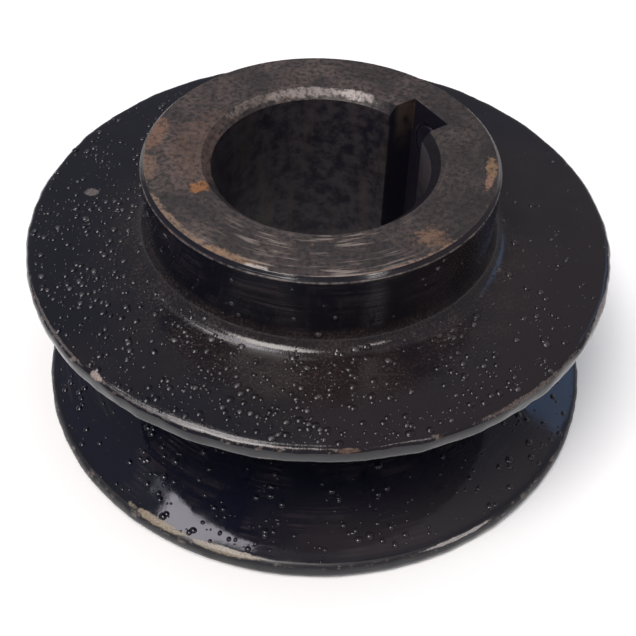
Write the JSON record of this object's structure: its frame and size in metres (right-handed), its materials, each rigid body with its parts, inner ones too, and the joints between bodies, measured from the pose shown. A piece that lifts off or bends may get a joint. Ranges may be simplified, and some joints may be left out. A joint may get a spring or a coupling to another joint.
{
  "type": "v belt pulley",
  "caption": "Cast iron V-belt pulley with a one-sided hub, a keyed bore and a grub screw over the keyway.",
  "frame": {"origin": "centre of the rear face, on the bore's axis; the pulley stands on this face", "axes": "+Z along the bore's axis towards the hub; the keyway's middle lies 36 degrees from +X towards +Y"},
  "size_m": [0.07, 0.07, 0.0335],
  "materials": {
    "enamelled_iron": "black gloss enamel over rough grey cast iron; hub face and bore machined bare, with light rust",
    "screw_steel": "black-oxide alloy steel, slightly oily"
  },
  "bodies": {
    "pulley": {"pulley_casting": "enamelled_iron"},
    "set_screw": {"key_set_screw": "screw_steel"}
  },
  "joints": [
    {"name": "screw_travel", "type": "slide", "parent": "pulley", "child": "set_screw", "axis": [0.809, 0.5878, 0], "range_m": [-0.003, 0.006]}
  ]
}
